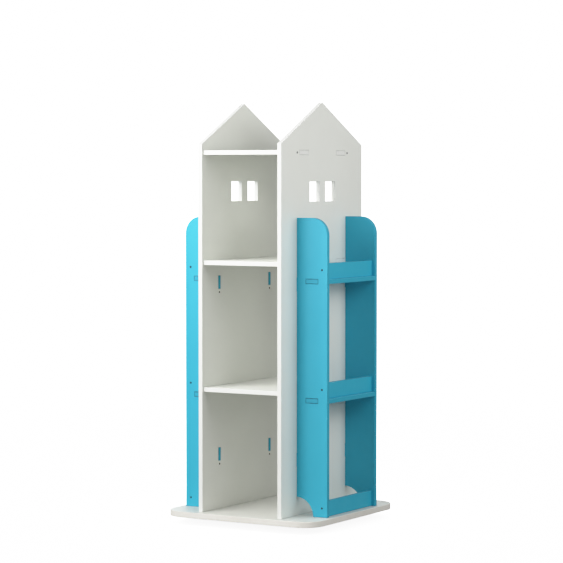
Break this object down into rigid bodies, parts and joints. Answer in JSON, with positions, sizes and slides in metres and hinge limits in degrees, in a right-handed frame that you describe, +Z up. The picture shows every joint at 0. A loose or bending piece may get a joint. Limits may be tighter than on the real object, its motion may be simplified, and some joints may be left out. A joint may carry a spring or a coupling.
{
  "type": "revolving bookcase",
  "caption": "Floor-standing revolving bookcase: a white house-shaped case with open shelves and blue side racks for picture books, turning on a hidden ball-bearing swivel.",
  "frame": {"origin": "on the floor, under the swivel's axis", "axes": "+Z up along the swivel's axis, open bays face -Y and +Y, racks stand out along -X and +X"},
  "size_m": [0.47, 0.47, 1.132],
  "materials": {
    "white_board": "satin white lacquer",
    "blue_board": "satin blue lacquer",
    "dark_screw": "dark zinc",
    "swivel_steel": "zinc plated",
    "ball_steel": "polished",
    "cage_brass": "rolled strip",
    "pad_rubber": "matt"
  },
  "bodies": {
    "floor_stand": {"floor_base": "white_board", "floor_pads": "pad_rubber", "swivel_lower_plate": "swivel_steel", "swivel_centre_rivet": "swivel_steel", "swivel_lower_screws": "dark_screw"},
    "ball_ring": {"swivel_balls": "ball_steel", "swivel_ball_cage": "cage_brass"},
    "revolving_case": {"base_plate": "white_board", "left_gable_panel": "white_board", "right_gable_panel": "white_board", "lower_shelf": "white_board", "upper_shelf": "white_board", "top_shelf": "white_board", "left_rack_front_board": "blue_board", "left_rack_rear_board": "blue_board", "right_rack_front_board": "blue_board", "right_rack_rear_board": "blue_board", "left_lower_tray": "blue_board", "left_upper_tray": "blue_board", "right_lower_tray": "blue_board", "right_upper_tray": "blue_board", "left_bottom_rail": "blue_board", "left_middle_rail": "blue_board", "left_upper_rail": "blue_board", "right_bottom_rail": "blue_board", "right_middle_rail": "blue_board", "right_upper_rail": "blue_board", "shelf_screws": "dark_screw", "rack_screws": "dark_screw", "rail_screws": "dark_screw", "base_screws": "dark_screw", "swivel_upper_screws": "dark_screw", "swivel_upper_plate": "swivel_steel"}
  },
  "joints": [
    {"name": "case_turn", "type": "hinge", "parent": "floor_stand", "child": "revolving_case", "pos_m": [0, 0, 0.0155], "axis": [0, 0, 1], "continuous": true},
    {"name": "ball_ring_orbit", "type": "hinge", "parent": "floor_stand", "child": "ball_ring", "pos_m": [0, 0, 0.0155], "axis": [0, 0, 1], "continuous": true}
  ],
  "couplings": [
    {"joint": "ball_ring_orbit", "follows": "case_turn", "ratio": 0.5}
  ]
}
